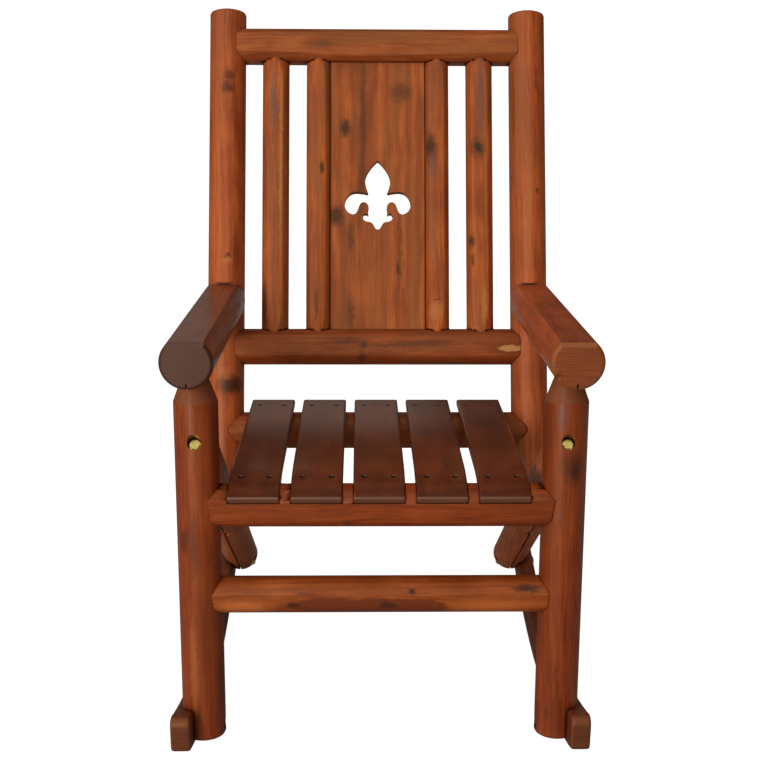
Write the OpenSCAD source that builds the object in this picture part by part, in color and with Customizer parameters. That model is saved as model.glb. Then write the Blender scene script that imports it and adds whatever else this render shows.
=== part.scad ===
// Log rocking chair: round posts, legs, rails and arms, a board back with a cut-out,
// five seat slats and two curved plank rockers.
// Millimetres. X runs across the chair and Z is up. The front of the chair faces -Y.
// Heights are above the floor. Depths (y) are behind the front posts' foot.

/* [Side frames] */
// Distance between the left and right side frames, from log centre to log centre
frame_w = 540; // [500:1:620]
// Diameter of the posts and rear legs
log_d = 65; // [60:1:72]
// Rounding of a log's cut end
end_round = 4; // [1:0.5:8]

/* [Front posts] */
// How far the front posts lean back, in degrees
front_lean = 5; // [0:0.5:10]
// Height of the front posts' lower end
front_foot_h = 67; // [62:1:90]
// Height at which the front post starts to narrow under the arm
neck_h = 588; // [560:1:610]
// Taper of the neck, in degrees
neck_taper = 20; // [12:1:26]
// How far the neck sits towards the front of the post
neck_shift = 1.4; // [0:0.1:3]
// Diameter of the tenon on top of the front post
arm_tenon_d = 28; // [20:1:34]
// How far that tenon goes into the arm
arm_tenon_in = 30; // [15:1:40]

/* [Rear legs] */
// Slope of the rear legs below the horizontal, in degrees
leg_angle = 37; // [34:0.5:41]
// Depth of the rear leg's lower end
leg_foot_y = 622; // [590:1:660]
// Height of the rear leg's lower end
leg_foot_h = 75; // [65:1:90]

/* [Back posts] */
// How far the back leans back, in degrees
back_lean = 21; // [15:0.1:25]
// Depth at which the back post meets the rear leg
back_joint_y = 360.7; // [345:0.1:390]
// Height of the back posts' top
back_top_h = 1116; // [1095:1:1200]

/* [Arms] */
// Diameter of the arm logs
arm_d = 76.5; // [68:0.5:84]
// Distance from an arm's centre up to its planed flat top
arm_flat = 29.5; // [26:0.5:33]
// Height of the flat top at the arm's front end
arm_front_h = 693; // [680:1:715]
// Height of the flat top where it meets the back post
arm_rear_h = 662; // [640:0.5:680]
// How far the arm's front end stands forward of the front posts' foot
arm_front = 20; // [5:1:40]
// How far the arms sit outward of the side frames
arm_out = 2.5; // [0:0.5:8]
// Depth of the flat seat for the arm in the back post
arm_seat = 5; // [3:0.5:8]
// Height to which that flat seat is cut above the arm's flat top
arm_seat_over = 3; // [2.5:0.5:6]
// Easing of the arm's front end
arm_round = 4.5; // [1:0.5:8]
// Bevel at the front edge of the flat top
arm_bevel = 6; // [2:0.5:8]
// Diameter of the knot hole at the right arm's front end
knot_hole_d = 12; // [6:1:16]

/* [Rockers] */
// Radius of the rocker's lower edge
rocker_r = 1175; // [1000:5:1400]
// Depth of the point that the rockers stand on
rocker_mid_y = 346.5; // [330:0.5:390]
// Height of the rocker plank
rocker_h = 55; // [45:1:70]
// Thickness of the rocker plank
rocker_t = 30; // [24:1:38]
// How deep the rocker is let into the side of the logs
rocker_let_in = 19.5; // [10:0.5:24]
// How far the rocker's nose stands forward of the front posts' foot
rocker_nose = 67; // [50:1:100]
// Depth of the rocker's tail
rocker_tail = 760; // [700:1:820]
// Rounding of the upper corners of nose and tail
rocker_round = 15; // [8:1:24]

/* [Rails] */
// Height of the front seat rail
seat_rail_h = 430.5; // [425:0.5:434]
// Diameter of both seat rails
seat_rail_d = 64; // [60:1:65]
// Height of the front stretcher
stretcher_h = 291; // [200:1:340]
// Diameter of the front stretcher
stretcher_d = 55; // [45:1:60]
// Depth to which the slats are let into the front seat rail
front_rail_notch = 11.5; // [6:0.5:16]
// Depth to which the slats are let into the rear seat rail
rear_rail_notch = 1; // [0.5:0.5:4]
// Distance of the lower back rail below the flat top of the arms at the back posts
low_rail_drop = 111; // [100:0.5:130]
// Distance of the upper back rail below the back posts' top
high_rail_drop = 56.5; // [45:0.5:90]
// Diameter of both back rails
back_rail_d = 64; // [56:1:64.5]
// Distance from a rail's centre to its planed front
rail_front = 27.5; // [22:0.5:30]
// Depth of the long hollow that is planed into the upper back rail's front
head_hollow = 9; // [4:0.5:12]
// Distance from the front stretcher's centre to its planed front
stretcher_front = 26; // [20:0.5:27]
// Diameter of the rail tenons
rail_tenon_d = 35; // [25:1:40]
// How far the rail tenons go into the posts
rail_tenon_in = 40; // [20:1:50]

/* [Back spindles] */
// Distance from the centre of the chair to the outer spindles
outer_spindle_x = 183; // [170:1:195]
// Diameter of the outer spindles
outer_spindle_d = 48; // [40:1:52]
// Distance from the centre of the chair to the inner spindles
inner_spindle_x = 106; // [106:1:118]
// Diameter of the inner spindles
inner_spindle_d = 44; // [36:1:44]
// Length over which a spindle narrows towards the rails
spindle_taper_l = 42; // [20:1:80]
// Share of its diameter that a spindle keeps at the rails
spindle_taper = 0.86; // [0.7:0.01:1]
// Distance from a spindle's centre to its planed front, as a share of its radius
spindle_flat = 0.86; // [0.75:0.01:1]
// Diameter of the spindle tenons
spindle_tenon_d = 25; // [16:1:30]
// How far the spindle tenons go into the rails
spindle_tenon_in = 28; // [15:1:40]

/* [Back panel] */
// Width of the back panel
panel_w = 165; // [140:1:166]
// Thickness of the back panel
panel_t = 18; // [14:1:22]
// Chamfer of the panel's long edges
panel_chamfer = 1.5; // [0.5:0.5:4]
// How deep the panel sits in the grooves of the rails
panel_in = 10; // [5:1:16]
// Height of the fleur-de-lis cut-out
lily_h = 125.3; // [90:0.1:150]
// Distance of the cut-out's middle above the panel's middle
lily_up = 0; // [-60:1:60]

/* [Seat] */
// Width of a seat slat
slat_w = 77; // [60:1:80]
// Gap between seat slats
slat_gap = 15; // [8:1:15]
// Thickness of a seat slat
slat_t = 12; // [10:0.5:16]
// Length of the seat from its front edge to its rear edge
seat_l = 467; // [440:1:480]
// How far the middle slat sits to the right of the chair's middle, below 0 to the left
seat_x = -3; // [-5:0.5:5]
// Slope of the rear part of the seat, in degrees
seat_slope = 2.6; // [0:0.1:5]
// Downward slope of the seat's front edge, in degrees
seat_front_slope = 17; // [5:1:25]
// Length of the straight front edge before the bend
seat_front_l = 18; // [5:1:40]
// Radius of the bend behind the front edge
seat_bend_r = 240; // [150:10:400]

/* [Hardware] */
// Diameter of the bolts
bolt_d = 8; // [6:1:10]
// Width across the flats of the bolt heads and nuts
hex_w = 13; // [10:1:17]
// Height of the bolt heads and nuts
hex_h = 5.5; // [4:0.5:7]
// Diameter of the washers
washer_d = 17; // [15:1:19]
// Thickness of the washers
washer_t = 1.6; // [1:0.1:2]
// Diameter of the counterbores
counterbore_d = 20; // [19:1:24]
// Diameter of the barrel nuts
barrel_d = 12; // [10:1:15]
// Length of the barrel nuts
barrel_l = 28; // [20:1:40]
// Depth of the leg bolt's counterbore below the front post's surface
leg_bolt_deep = 17; // [8:1:24]
// Depth of the back post bolt's counterbore below the leg's underside
back_bolt_deep = 16; // [8:1:24]
// Depth of the arm bolt's counterbore below the back post's rear
arm_bolt_deep = 14; // [8:1:20]
// Length of the leg bolts and arm bolts
long_bolt_l = 120; // [100:5:130]
// Length of the back post bolts
back_bolt_l = 90; // [75:5:110]
// Diameter of the shallow dimple in a bolt head
bolt_mark_d = 7; // [4:0.5:9]
// Depth of that dimple
bolt_mark_deep = 1; // [0.5:0.5:2]
// Height of the round head of the rocker bolts
round_head_h = 4; // [2:0.5:6]
// Depth of the rocker bolt's counterbore below the inner side of the log
rocker_nut_deep = 12; // [8:1:18]
// Distance of the rear rocker bolt below the leg's centre
leg_bolt_under = 18; // [10:1:20]
// Distance of the rear rocker bolt from the leg's lower end
leg_bolt_up = 15; // [12:1:25]
// Diameter of the seat screws
screw_d = 4.5; // [3.5:0.5:6]
// Diameter of the seat screws' heads
screw_head_d = 9; // [7:0.5:11]
// Length of the seat screws
screw_l = 38; // [25:1:45]
// Distance of the seat screws from a slat's long edges
screw_edge = 17; // [12:1:25]
// Distance of the front seat screws behind the middle of the front rail
front_screw_back = 20; // [0:1:24]
// Distance of the rear seat screws behind the middle of the rear rail
rear_screw_back = 12; // [0:1:20]
// Depth of the screw heads below the seat's surface
screw_sunk = 1.5; // [0.5:0.5:3]
// Width of the relief kerf below the arms and rear legs
kerf_w = 2.5; // [1:0.5:4]
// Depth of that kerf
kerf_deep = 9; // [5:0.5:14]

/* [Fits] */
// Clearance between a coped or notched face and the log that it seats on
seat_fit = 0.15; // [0.05:0.05:0.4]
// Clearance round a tenon, bolt or barrel nut in its bore
bore_fit = 0.2; // [0.1:0.05:0.5]
// Gap left at the bottom of a bore
end_fit = 1; // [0.5:0.5:3]

/* [Hidden] */

$fn = 64;
// Fine enough for the large radii of the rockers and the upper rail's hollow
large_fn = 360;
// A length longer than any piece, for shapes that cut
big = 2000;
left = -1;
right = 1;

log_r = log_d / 2;
side_x = frame_w / 2;
// A cut end's rounding has one point between its ends, at this share of the rounding
round_mid = 0.3;
// The chair stands with the middle of its depth on the origin
frame_y = (rocker_nose - rocker_tail) / 2;

// Front posts, with heights along the post from its lower end
front_tan = tan(front_lean);
neck_at = (neck_h - front_foot_h) / cos(front_lean);
// The neck's cone starts inside the post, below the visible shoulder
neck_inside = 20;
neck_start = neck_at - neck_inside;

// Rear legs, which run up to the middle of the front posts
leg_tan = tan(leg_angle);
leg_top_y = front_tan * (leg_foot_h - front_foot_h + leg_foot_y * leg_tan)
    / (1 + leg_tan * front_tan);
leg_l = (leg_foot_y - leg_top_y) / cos(leg_angle);

// Back posts, with heights along the post from its joint with the leg
back_joint = [back_joint_y, leg_foot_h + (leg_foot_y - back_joint_y) * leg_tan];
back_normal = [cos(back_lean), -sin(back_lean)];
back_l = (back_top_h - back_joint[1]) / cos(back_lean);

// Arms, with lengths along the arm's centre from its front end
arm_r = arm_d / 2;
back_face = log_r - arm_seat;
arm_slope = atan2(
    arm_front_h - arm_rear_h,
    arm_front + back_axis_y(arm_rear_h) - back_face / cos(back_lean)
);
arm_start = [
    -arm_front - arm_flat * sin(arm_slope),
    arm_front_h - arm_flat * cos(arm_slope)
];
arm_l = (-back_face - (arm_start - back_joint) * back_normal) / cos(back_lean - arm_slope);
// Height along the front post at which its axis meets the arm's underside
arm_low_0 = arm_start[1] + arm_start[0] * tan(arm_slope) - arm_r / cos(arm_slope);
arm_low_h = (arm_low_0 + front_foot_h * tan(arm_slope) * front_tan)
    / (1 + tan(arm_slope) * front_tan);
arm_low_at = (arm_low_h - front_foot_h) / cos(front_lean);
// Where the knot hole is round the arm's end, from outward through downward
knot_hole_turn = 143;

// Rockers, with x measured outward from the middle of a side frame
rocker_in_x = log_r - rocker_let_in;
rocker_out_x = rocker_in_x + rocker_t;

// Seat: the centre of its front bend, which lets the slats into the front rail's notches,
// the height of its rear edge and the steps that draw the bend
seat_bend_y = seat_front_l * cos(seat_front_slope) + seat_bend_r * sin(seat_front_slope);
seat_low_r = seat_bend_r - slat_t - seat_fit;
seat_bend = [
    seat_bend_y,
    seat_rail_h + seat_rail_d / 2 - front_rail_notch
        - sqrt(pow(seat_low_r, 2) - pow(seat_bend_y - front_axis_y(seat_rail_h), 2))
];
seat_rear_h = seat_bend[1] + seat_bend_r * cos(seat_slope)
    - (seat_l - seat_bend_y - seat_bend_r * sin(seat_slope)) * tan(seat_slope);
seat_bend_steps = 12;
slat_count = 5;
slat_pitch = slat_w + slat_gap;

// Rear seat rail, set so that the slats lie in its notches
rear_rail_flat = seat_rail_d / 2 - rear_rail_notch;
seat_low_0 = seat_rear_h + seat_l * tan(seat_slope)
    - (slat_t + seat_fit + rear_rail_flat) / cos(seat_slope);
rear_rail_h = (seat_low_0 - tan(seat_slope) * (back_joint[0] - back_joint[1] * tan(back_lean)))
    / (1 + tan(seat_slope) * tan(back_lean));

// Back rails, with heights above the floor and then along the back posts
back_rail_low_h = arm_rear_h - low_rail_drop;
back_rail_high_h = back_top_h - high_rail_drop;
low_rail_at = (back_rail_low_h - back_joint[1]) / cos(back_lean);
high_rail_at = (back_rail_high_h - back_joint[1]) / cos(back_lean);
back_mid_at = (low_rail_at + high_rail_at) / 2;
back_rail_r = back_rail_d / 2;
// The hollow's radius, with which it runs out at the posts
head_hollow_half = side_x - log_r;
head_hollow_r = (pow(head_hollow_half, 2) + pow(head_hollow, 2)) / (2 * head_hollow);

// Bolts: where their washers seat, measured along each bolt
leg_bolt_at = leg_l + log_r / cos(leg_angle - front_lean) - leg_bolt_deep;
back_bolt_at = log_r / cos(leg_angle - back_lean) - back_bolt_deep;
arm_bolt_at = arm_l + (back_face + log_r) / cos(back_lean - arm_slope) - arm_bolt_deep;
nut_from_end = 8;
rocker_nut_x = rocker_nut_deep - log_r;
rocker_bolt_end = 2;
rocker_bolt_l = rocker_out_x - rocker_nut_x + washer_t + hex_h + rocker_bolt_end;

function back_axis_y(h) = back_joint[0] + (h - back_joint[1]) * tan(back_lean);
function front_axis_y(h) = (h - front_foot_h) * front_tan;
function rocker_low_h(y, up = 0) =
    rocker_r - sqrt(pow(rocker_r - up, 2) - pow(y - rocker_mid_y, 2));
function reversed(list) = [for (i = [len(list) - 1:-1:0]) list[i]];

// The seat's side view: the way square to its surface, and a path a given depth below it
function seat_square(a) = [sin(a), cos(a)];
function seat_arc(a, deep) = seat_bend + (seat_bend_r - deep) * seat_square(a);
function seat_path(deep) = concat(
    [[seat_l, seat_rear_h] - deep * seat_square(seat_slope)],
    [for (i = [0:seat_bend_steps])
        seat_arc(seat_slope - i * (seat_slope + seat_front_slope) / seat_bend_steps, deep)],
    [seat_arc(-seat_front_slope, deep)
        - seat_front_l * [cos(seat_front_slope), sin(seat_front_slope)]]
);
function seat_tilt(y) =
    asin(max(-sin(seat_front_slope), min(sin(seat_slope), (y - seat_bend[0]) / seat_bend_r)));
function seat_top(y) =
    let (a = seat_tilt(y), at = seat_arc(a, 0)) at[1] - (y - at[0]) * tan(a);

// A curve of four control points
function curve(p, steps = 6) = [
    for (i = [1:steps])
        let (t = i / steps, u = 1 - t)
            u * u * u * p[0] + 3 * u * u * t * p[1] + 3 * u * t * t * p[2] + t * t * t * p[3]
];

// Places

module stand() {
    translate([0, frame_y, 0]) children();
}

// Sets a piece drawn at the middle of a side frame, with x outward, on one side
module on_side(side) {
    mirror([side == left ? 1 : 0, 0, 0]) translate([side_x, 0, 0]) children();
}

module on_both_sides() {
    for (side = [left, right]) on_side(side) children();
}

// Up along the front post from its lower end
module on_front_post() {
    translate([0, 0, front_foot_h]) rotate([-front_lean, 0, 0]) children();
}

// Up along the rear leg from its lower end, with y to its upper side
module on_leg() {
    translate([0, leg_foot_y, leg_foot_h]) rotate([90 - leg_angle, 0, 0]) children();
}

// Up along the back post from its joint with the leg, with y to its rear
module on_back() {
    translate([0, back_joint[0], back_joint[1]]) rotate([-back_lean, 0, 0]) children();
}

// Back along the arm's centre from its front end, with y downward
module on_arm() {
    translate([arm_out, arm_start[0], arm_start[1]]) rotate([-90 - arm_slope, 0, 0]) children();
}

// Across the chair, with z to the right
module across() {
    rotate([0, 90, 0]) children();
}

// Shapes that several pieces share

// A turned shape standing on its lower end, from points of radius and height
module turned(points) {
    rotate_extrude() polygon(points);
}

// A log with both cut ends eased
module log_up(d, l, lower = end_round, upper = end_round) {
    turned([
        [0, 0],
        [d / 2 - lower, 0],
        [d / 2 - lower * round_mid, lower * round_mid],
        [d / 2, lower],
        [d / 2, l - upper],
        [d / 2 - upper * round_mid, l - upper * round_mid],
        [d / 2 - upper, l],
        [0, l]
    ]);
}

// The space that a log takes, with the clearance of the faces that seat on it
module log_space(d) {
    translate([0, 0, -big / 2]) cylinder(d = d + 2 * seat_fit, h = big);
}

// A box centred in x, from y0 to y1 and from z0 to z1
module slab(w, y0, y1, z0, z1) {
    translate([-w / 2, y0, z0]) cube([w, y1 - y0, z1 - z0]);
}

// The saw cut that keeps a log from splitting
module kerf(l) {
    slab(kerf_w, log_r - kerf_deep, big, -1, l);
}

// A round bore from z = 0 up, for a tenon of a given size
module tenon_bore(d, l) {
    translate([0, 0, -1]) cylinder(d = d + 2 * bore_fit, h = l + end_fit + 1);
}

// Hexagonal head or nut standing on z = 0
module hexagon(h = hex_h) {
    cylinder(d = hex_w / cos(30), h = h, $fn = 6);
}

// A bolt whose washer seats on z = 0 and whose shank runs down from there
module bolt(l) {
    translate([0, 0, washer_t]) difference() {
        hexagon();
        translate([0, 0, hex_h - bolt_mark_deep]) cylinder(d = bolt_mark_d, h = hex_h);
    }
    translate([0, 0, -l]) cylinder(d = bolt_d, h = l + washer_t + 1);
}

module washer() {
    difference() {
        cylinder(d = washer_d, h = washer_t);
        translate([0, 0, -1]) cylinder(d = bolt_d + 2 * bore_fit, h = washer_t + 2);
    }
}

// The hole for that bolt, with its counterbore running outward
module bolt_hole(l) {
    translate([0, 0, -l - end_fit]) cylinder(d = bolt_d + 2 * bore_fit, h = l + end_fit + 1);
    cylinder(d = counterbore_d, h = log_d);
}

// The barrel nut near the end of that bolt, lying along x
module barrel_nut(l) {
    difference() {
        translate([-barrel_l / 2, 0, nut_from_end - l]) across() cylinder(d = barrel_d, h = barrel_l);
        translate([0, 0, -l - 1]) cylinder(d = bolt_d, h = l);
    }
}

// The hole for that nut, which opens towards -x
module barrel_hole(l) {
    translate([-big, 0, nut_from_end - l])
        across() cylinder(d = barrel_d + 2 * bore_fit, h = big + barrel_l / 2 + end_fit);
}

// Where each bolt goes in a side frame

module at_leg_bolt() {
    on_leg() translate([0, 0, leg_bolt_at]) children();
}

module at_back_bolt() {
    on_back() translate([0, 0, -back_bolt_at]) rotate([180, 0, 0]) children();
}

module at_arm_bolt() {
    on_arm() translate([-arm_out, 0, arm_bolt_at]) children();
}

// Along the rocker bolts from the outer face of the rocker, with z outward
module at_rocker_bolts() {
    bolt_y = front_axis_y(rocker_low_h(0, rocker_h / 2));
    translate([rocker_out_x, bolt_y, rocker_low_h(bolt_y, rocker_h / 2)]) across() children();
    on_leg() translate([rocker_out_x, -leg_bolt_under, leg_bolt_up]) across() children();
}

// Front posts

module neck_cone() {
    shrink = tan(neck_taper);
    top = arm_low_at + arm_r / 2;
    low_r = log_r + (neck_at - neck_start) * shrink;
    translate([0, -neck_shift, neck_start])
        cylinder(r1 = low_r, r2 = low_r - (top - neck_start) * shrink, h = top - neck_start);
}

module front_post(side) {
    on_side(side) difference() {
        union() {
            difference() {
                on_front_post() {
                    log_up(log_d, neck_start + neck_inside / 4, end_round, 0);
                    intersection() {
                        neck_cone();
                        cylinder(d = log_d, h = arm_low_at + arm_r);
                    }
                }
                on_arm() log_space(arm_d);
            }
            on_front_post() cylinder(d = arm_tenon_d, h = arm_low_at + arm_tenon_in);
        }
        rocker_space();
        at_leg_bolt() bolt_hole(long_bolt_l);
        at_rocker_bolts() rocker_bolt_hole();
        for (h = [seat_rail_h, stretcher_h]) rail_end_bore(front_axis_y(h), h);
    }
}

module front_post_left() {
    color("#8a3a1c") stand() front_post(left);
}

module front_post_right() {
    color("#8a3a1c") stand() front_post(right);
}

// Rear legs

module rear_leg(side) {
    on_side(side) difference() {
        on_leg() log_up(log_d, leg_l, end_round, 0);
        on_front_post() log_space(log_d);
        rocker_space();
        on_leg() rotate([0, 0, 180]) kerf(big);
        at_leg_bolt() {
            bolt_hole(long_bolt_l);
            barrel_hole(long_bolt_l);
        }
        at_back_bolt() bolt_hole(back_bolt_l);
        at_rocker_bolts() rocker_bolt_hole();
    }
}

module rear_leg_left() {
    color("#7d3419") stand() rear_leg(left);
}

module rear_leg_right() {
    color("#7d3419") stand() rear_leg(right);
}

// Back posts

// The flat that seats the arm's rear end
module arm_seat_space() {
    intersection() {
        on_arm() slab(big, -arm_flat - arm_seat_over, arm_r + seat_fit, 0, big);
        on_back() slab(big, -big, -back_face, -big, big);
    }
}

module back_post(side) {
    on_side(side) difference() {
        on_back() log_up(log_d, back_l, 0, end_round);
        on_leg() log_space(log_d);
        arm_seat_space();
        at_back_bolt() {
            bolt_hole(back_bolt_l);
            barrel_hole(back_bolt_l);
        }
        at_arm_bolt() bolt_hole(long_bolt_l);
        for (h = [rear_rail_h, back_rail_low_h, back_rail_high_h]) rail_end_bore(back_axis_y(h), h);
    }
}

module back_post_left() {
    color("#8a3a1c") stand() back_post(left);
}

module back_post_right() {
    color("#8a3a1c") stand() back_post(right);
}

// Arms

// A log eased at its front end by a sphere, so that the planed flat keeps plain edges
module arm_log() {
    ease_r = norm([arm_r, arm_r - arm_round]);
    intersection() {
        cylinder(d = arm_d, h = arm_l + arm_d);
        translate([0, 0, arm_r]) {
            sphere(r = ease_r);
            cylinder(r = (arm_r + ease_r) / 2, h = big);
        }
    }
}

module arm(side) {
    on_side(side) difference() {
        on_arm() arm_log();
        on_arm() slab(big, -big, -arm_flat, -big, big);
        on_arm() translate([0, -arm_flat, arm_bevel]) rotate([45, 0, 0]) slab(big, -big, 0, -big, big);
        on_arm() translate([0, arm_r - log_r, 0]) kerf(big);
        on_back() slab(big, -back_face - seat_fit, big, -big, big);
        on_front_post() tenon_bore(arm_tenon_d, arm_low_at + arm_tenon_in);
        at_arm_bolt() {
            bolt_hole(long_bolt_l);
            rotate([0, 0, -90]) barrel_hole(long_bolt_l);
        }
    }
}

module arm_left() {
    color("#6b3322") stand() arm(left);
}

module arm_right() {
    color("#6b3322") stand() difference() {
        arm(right);
        on_side(right) on_arm() rotate([0, 0, knot_hole_turn]) translate([arm_r - arm_round, 0, 0])
            sphere(d = knot_hole_d);
    }
}

// Rockers

// The curved band between the rocker's lower and upper edges
module rocker_band(x0, x1, more = 0) {
    translate([x0, rocker_mid_y, rocker_r]) across() difference() {
        cylinder(r = rocker_r + more, h = x1 - x0, $fn = large_fn);
        translate([0, 0, -1]) cylinder(r = rocker_r - rocker_h - more, h = x1 - x0 + 2, $fn = large_fn);
    }
}

// What is cut from an upper corner of the rocker to round it
module rocker_corner(y, way) {
    mid_y = y + way * rocker_round;
    mid = [mid_y, rocker_low_h(mid_y, rocker_h - rocker_round)];
    inward = [rocker_mid_y, rocker_r] - mid;
    reach = 2 * rocker_round;
    difference() {
        rotate([90, 0, 90]) linear_extrude(height = big, center = true)
            polygon([mid, [y - way, mid[1]], [y - way, mid[1] + reach], mid + reach * inward / norm(inward)]);
        translate([-big, mid[0], mid[1]]) across() cylinder(r = rocker_round, h = 2 * big);
    }
}

module rocker(side) {
    on_side(side) difference() {
        intersection() {
            rocker_band(rocker_in_x, rocker_out_x);
            translate([-big / 2, -rocker_nose, -1]) cube([big, rocker_nose + rocker_tail, rocker_r / 2]);
        }
        rocker_corner(-rocker_nose, 1);
        rocker_corner(rocker_tail, -1);
        at_rocker_bolts() rocker_bolt_hole();
    }
}

// The space let into the logs for the rocker
module rocker_space() {
    intersection() {
        rocker_band(rocker_in_x - seat_fit, big / 4, seat_fit);
        translate([-big / 2, -rocker_nose, -1]) cube([big, rocker_nose + rocker_tail, rocker_r / 2]);
    }
}

module rocker_left() {
    color("#7a3a20") stand() rocker(left);
}

module rocker_right() {
    color("#7a3a20") stand() rocker(right);
}

// The rocker bolt's own shank and round head, drawn from the rocker's outer face
module rocker_bolt() {
    translate([0, 0, -rocker_bolt_l]) cylinder(d = bolt_d, h = rocker_bolt_l + 1);
    intersection() {
        cylinder(d = 2 * hex_w, h = round_head_h);
        translate([0, 0, round_head_h - hex_w]) sphere(r = hex_w);
    }
}

// Its hole, with the counterbore for the nut on the inner side of the log
module rocker_bolt_hole() {
    translate([0, 0, -big]) cylinder(d = bolt_d + 2 * bore_fit, h = big + 1);
    translate([0, 0, rocker_nut_x - rocker_out_x - big]) cylinder(d = counterbore_d, h = big);
}

// Rails

// The bore for a rail's tenon in a post, at a depth and height
module rail_end_bore(y, h) {
    translate([-log_r, y, h]) across() tenon_bore(rail_tenon_d, rail_tenon_in);
}

// A rail's barrel and tenons along x, before its ends are coped
module rail_log(d) {
    translate([-side_x, 0, 0]) across() cylinder(d = d, h = frame_w);
}

module rail_tenons() {
    l = frame_w - log_d + 2 * rail_tenon_in;
    translate([-l / 2, 0, 0]) across() cylinder(d = rail_tenon_d, h = l);
}

module at_front_rail(h) {
    translate([0, front_axis_y(h), h]) children();
}

module on_rail(at) {
    on_back() translate([0, 0, at]) children();
}

// The notches that let the slats into the rails
module slat_spaces() {
    lower = seat_path(slat_t + seat_fit);
    rear = lower[0];
    front = lower[len(lower) - 1];
    rise = [0, seat_rail_d];
    reach = [seat_rail_d, 0];
    for (i = [0:slat_count - 1])
        translate([slat_x(i), 0, 0]) rotate([90, 0, 90])
            linear_extrude(height = slat_w + 2 * seat_fit, center = true) polygon(concat(
                [rear + reach + rise, rear + reach], lower, [front - reach, front - reach + rise]
            ));
}

module seat_front_rail() {
    color("#8f421f") stand() difference() {
        union() {
            difference() {
                at_front_rail(seat_rail_h) rail_log(seat_rail_d);
                on_both_sides() on_front_post() log_space(log_d);
            }
            at_front_rail(seat_rail_h) rail_tenons();
        }
        at_front_rail(seat_rail_h) slab(big, -big, -rail_front, -big, big);
        slat_spaces();
        at_screws() screw_hole();
    }
}

module front_stretcher() {
    color("#96481f") stand() difference() {
        union() {
            difference() {
                at_front_rail(stretcher_h) rail_log(stretcher_d);
                on_both_sides() on_front_post() log_space(log_d);
            }
            at_front_rail(stretcher_h) rail_tenons();
        }
        at_front_rail(stretcher_h) slab(big, -big, -stretcher_front, -big, big);
    }
}

module seat_rear_rail() {
    at = (rear_rail_h - back_joint[1]) / cos(back_lean);
    color("#8f421f") stand() difference() {
        union() {
            difference() {
                on_rail(at) rail_log(seat_rail_d);
                on_both_sides() on_back() log_space(log_d);
            }
            on_rail(at) rail_tenons();
        }
        slat_spaces();
        at_screws() screw_hole();
    }
}

// A back rail with bores for the spindles and a groove for the panel; way is 1 if they open upward
module back_rail(at, way) {
    difference() {
        union() {
            difference() {
                on_rail(at) rail_log(back_rail_d);
                on_both_sides() on_back() log_space(log_d);
            }
            on_rail(at) rail_tenons();
        }
        on_rail(at) {
            for (x = spindle_xs)
                translate([x, 0, way * back_rail_r]) rotate([way * 90 + 90, 0, 0])
                    tenon_bore(spindle_tenon_d, spindle_tenon_in);
            groove = way * (back_rail_r - panel_in - end_fit);
            slab(
                panel_w + 2 * bore_fit, -panel_t / 2 - bore_fit, panel_t / 2 + bore_fit,
                min(groove, way * back_rail_d), max(groove, way * back_rail_d)
            );
        }
    }
}

module back_rail_bottom() {
    color("#8f421f") stand() difference() {
        back_rail(low_rail_at, 1);
        on_rail(low_rail_at) slab(big, -big, -rail_front, -big, big);
    }
}

module back_rail_top() {
    color("#8f421f") stand() difference() {
        back_rail(high_rail_at, -1);
        on_rail(high_rail_at) translate([0, head_hollow - back_rail_r - head_hollow_r, -back_rail_d])
            cylinder(r = head_hollow_r, h = 2 * back_rail_d, $fn = large_fn);
    }
}

// Back spindles

spindle_xs = [-outer_spindle_x, -inner_spindle_x, inner_spindle_x, outer_spindle_x];
// The taper is rounded: this far along it, it has come back by this share
spindle_mid_at = 0.4;
spindle_mid_back = 0.65;

module spindle_log(d) {
    r = d / 2;
    l = high_rail_at - low_rail_at;
    ends = [back_rail_r, back_rail_r + spindle_taper_l];
    mid_r = r * (spindle_taper + (1 - spindle_taper) * spindle_mid_back);
    mid_at = ends[0] + spindle_taper_l * spindle_mid_at;
    turned([
        [0, 0],
        [r * spindle_taper, 0],
        [r * spindle_taper, ends[0]],
        [mid_r, mid_at],
        [r, ends[1]],
        [r, l - ends[1]],
        [mid_r, l - mid_at],
        [r * spindle_taper, l - ends[0]],
        [r * spindle_taper, l],
        [0, l]
    ]);
}

module back_spindle(x, d) {
    l = high_rail_at - low_rail_at;
    tenon_l = l - 2 * (back_rail_r - spindle_tenon_in);
    on_rail(low_rail_at) translate([x, 0, 0]) {
        difference() {
            spindle_log(d);
            slab(big, -big, -spindle_flat * d / 2, -big, big);
            for (z = [0, l])
                translate([-big / 2, 0, z]) across() cylinder(d = back_rail_d + 2 * seat_fit, h = big);
        }
        translate([0, 0, back_rail_r - spindle_tenon_in]) cylinder(d = spindle_tenon_d, h = tenon_l);
    }
}

module back_spindle_1() {
    color("#93481f") stand() back_spindle(-outer_spindle_x, outer_spindle_d);
}

module back_spindle_2() {
    color("#93481f") stand() back_spindle(-inner_spindle_x, inner_spindle_d);
}

module back_spindle_3() {
    color("#93481f") stand() back_spindle(inner_spindle_x, inner_spindle_d);
}

module back_spindle_4() {
    color("#93481f") stand() back_spindle(outer_spindle_x, outer_spindle_d);
}

// Back panel

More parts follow.
